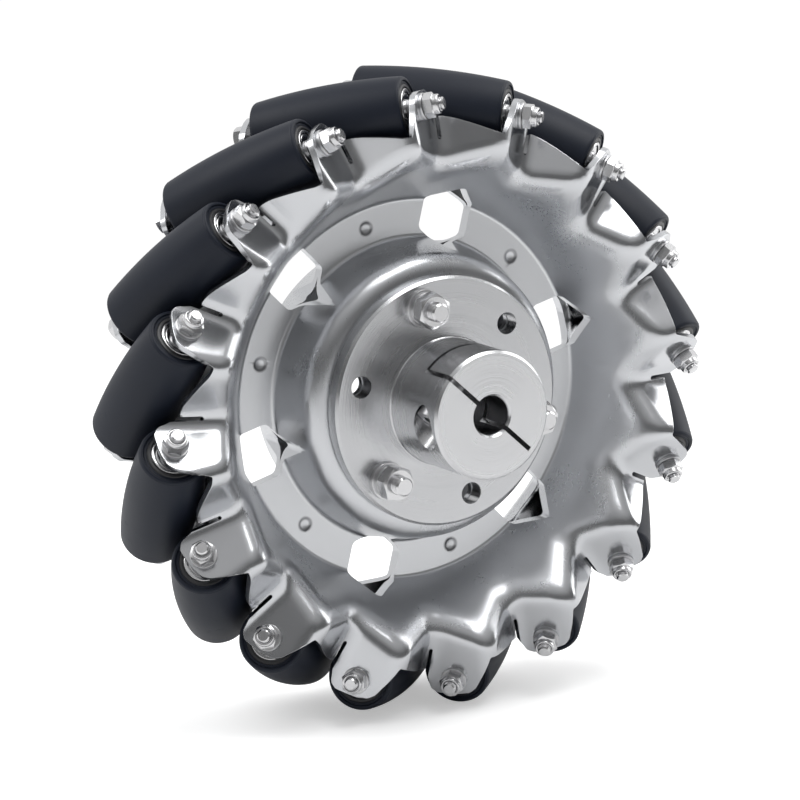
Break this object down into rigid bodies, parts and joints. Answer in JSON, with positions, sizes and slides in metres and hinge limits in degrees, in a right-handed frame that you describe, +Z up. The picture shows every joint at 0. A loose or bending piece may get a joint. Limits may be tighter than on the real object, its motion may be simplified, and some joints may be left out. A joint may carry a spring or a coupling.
{
  "type": "mecanum wheel",
  "caption": "Mecanum wheel: pressed stainless plates carry tilted, free-running rubber rollers round the rim, with a slotted clamp hub for the drive shaft.",
  "frame": {"origin": "centre of the wheel: on its axle, in the plane where the two plates meet, half way along the rollers", "axes": "Y is the wheel's axle with -Y towards the hub's nose; +Z is up with the wheel standing on the floor; X is the direction of travel"},
  "size_m": [0.2032, 0.083, 0.2032],
  "materials": {
    "plate_steel": "satin pressed stainless sheet, bright on the rim's folds",
    "hub_aluminium": "fine turned",
    "bright_steel": "bright plated",
    "washer_steel": "plated, lightly dulled",
    "screw_steel": "satin",
    "bearing_steel": "ground and polished",
    "roller_rubber": "smooth matt moulded rubber",
    "core_plastic": "matt moulded"
  },
  "bodies": {
    "wheel": {"front_plate": "plate_steel", "rear_plate": "plate_steel", "clamp_hub": "hub_aluminium", "clamp_screw": "screw_steel", "hub_bolts": "bright_steel", "hub_nuts": "bright_steel", "hub_washers": "washer_steel", "axle_bolts": "bright_steel", "axle_nuts": "bright_steel", "axle_washers": "washer_steel", "roller_spacers": "washer_steel", "bearing_inner_rings": "bearing_steel"},
    "roller_01": {"roller_tyre_01": "roller_rubber", "roller_core_01": "core_plastic", "roller_bearings_01": "bearing_steel"},
    "roller_02": {"roller_tyre_02": "roller_rubber", "roller_core_02": "core_plastic", "roller_bearings_02": "bearing_steel"},
    "roller_03": {"roller_tyre_03": "roller_rubber", "roller_core_03": "core_plastic", "roller_bearings_03": "bearing_steel"},
    "roller_04": {"roller_tyre_04": "roller_rubber", "roller_core_04": "core_plastic", "roller_bearings_04": "bearing_steel"},
    "roller_05": {"roller_tyre_05": "roller_rubber", "roller_core_05": "core_plastic", "roller_bearings_05": "bearing_steel"},
    "roller_06": {"roller_tyre_06": "roller_rubber", "roller_core_06": "core_plastic", "roller_bearings_06": "bearing_steel"},
    "roller_07": {"roller_tyre_07": "roller_rubber", "roller_core_07": "core_plastic", "roller_bearings_07": "bearing_steel"},
    "roller_08": {"roller_tyre_08": "roller_rubber", "roller_core_08": "core_plastic", "roller_bearings_08": "bearing_steel"},
    "roller_09": {"roller_tyre_09": "roller_rubber", "roller_core_09": "core_plastic", "roller_bearings_09": "bearing_steel"},
    "roller_10": {"roller_tyre_10": "roller_rubber", "roller_core_10": "core_plastic", "roller_bearings_10": "bearing_steel"},
    "roller_11": {"roller_tyre_11": "roller_rubber", "roller_core_11": "core_plastic", "roller_bearings_11": "bearing_steel"},
    "roller_12": {"roller_tyre_12": "roller_rubber", "roller_core_12": "core_plastic", "roller_bearings_12": "bearing_steel"},
    "roller_13": {"roller_tyre_13": "roller_rubber", "roller_core_13": "core_plastic", "roller_bearings_13": "bearing_steel"},
    "roller_14": {"roller_tyre_14": "roller_rubber", "roller_core_14": "core_plastic", "roller_bearings_14": "bearing_steel"},
    "roller_15": {"roller_tyre_15": "roller_rubber", "roller_core_15": "core_plastic", "roller_bearings_15": "bearing_steel"},
    "roller_16": {"roller_tyre_16": "roller_rubber", "roller_core_16": "core_plastic", "roller_bearings_16": "bearing_steel"}
  },
  "joints": [
    {"name": "roller_01_spin", "type": "hinge", "parent": "wheel", "child": "roller_01", "pos_m": [0.0861, 0, 0.0255], "axis": [0.2008, -0.7071, -0.678], "continuous": true},
    {"name": "roller_02_spin", "type": "hinge", "parent": "wheel", "child": "roller_02", "pos_m": [0.06979, 0, 0.05651], "axis": [0.445, -0.7071, -0.5495], "continuous": true},
    {"name": "roller_03_spin", "type": "hinge", "parent": "wheel", "child": "roller_03", "pos_m": [0.04285, 0, 0.07892], "axis": [0.6214, -0.7071, -0.3374], "continuous": true},
    {"name": "roller_04_spin", "type": "hinge", "parent": "wheel", "child": "roller_04", "pos_m": [0.00939, 0, 0.08931], "axis": [0.7032, -0.7071, -0.0739], "continuous": true},
    {"name": "roller_05_spin", "type": "hinge", "parent": "wheel", "child": "roller_05", "pos_m": [-0.0255, 0, 0.0861], "axis": [0.678, -0.7071, 0.2008], "continuous": true},
    {"name": "roller_06_spin", "type": "hinge", "parent": "wheel", "child": "roller_06", "pos_m": [-0.05651, 0, 0.06979], "axis": [0.5495, -0.7071, 0.445], "continuous": true},
    {"name": "roller_07_spin", "type": "hinge", "parent": "wheel", "child": "roller_07", "pos_m": [-0.07892, 0, 0.04285], "axis": [0.3374, -0.7071, 0.6214], "continuous": true},
    {"name": "roller_08_spin", "type": "hinge", "parent": "wheel", "child": "roller_08", "pos_m": [-0.08931, 0, 0.00939], "axis": [0.0739, -0.7071, 0.7032], "continuous": true},
    {"name": "roller_09_spin", "type": "hinge", "parent": "wheel", "child": "roller_09", "pos_m": [-0.0861, 0, -0.0255], "axis": [-0.2008, -0.7071, 0.678], "continuous": true},
    {"name": "roller_10_spin", "type": "hinge", "parent": "wheel", "child": "roller_10", "pos_m": [-0.06979, 0, -0.05651], "axis": [-0.445, -0.7071, 0.5495], "continuous": true},
    {"name": "roller_11_spin", "type": "hinge", "parent": "wheel", "child": "roller_11", "pos_m": [-0.04285, 0, -0.07892], "axis": [-0.6214, -0.7071, 0.3374], "continuous": true},
    {"name": "roller_12_spin", "type": "hinge", "parent": "wheel", "child": "roller_12", "pos_m": [-0.00939, 0, -0.08931], "axis": [-0.7032, -0.7071, 0.0739], "continuous": true},
    {"name": "roller_13_spin", "type": "hinge", "parent": "wheel", "child": "roller_13", "pos_m": [0.0255, 0, -0.0861], "axis": [-0.678, -0.7071, -0.2008], "continuous": true},
    {"name": "roller_14_spin", "type": "hinge", "parent": "wheel", "child": "roller_14", "pos_m": [0.05651, 0, -0.06979], "axis": [-0.5495, -0.7071, -0.445], "continuous": true},
    {"name": "roller_15_spin", "type": "hinge", "parent": "wheel", "child": "roller_15", "pos_m": [0.07892, 0, -0.04285], "axis": [-0.3374, -0.7071, -0.6214], "continuous": true},
    {"name": "roller_16_spin", "type": "hinge", "parent": "wheel", "child": "roller_16", "pos_m": [0.08931, 0, -0.00939], "axis": [-0.0739, -0.7071, -0.7032], "continuous": true}
  ]
}
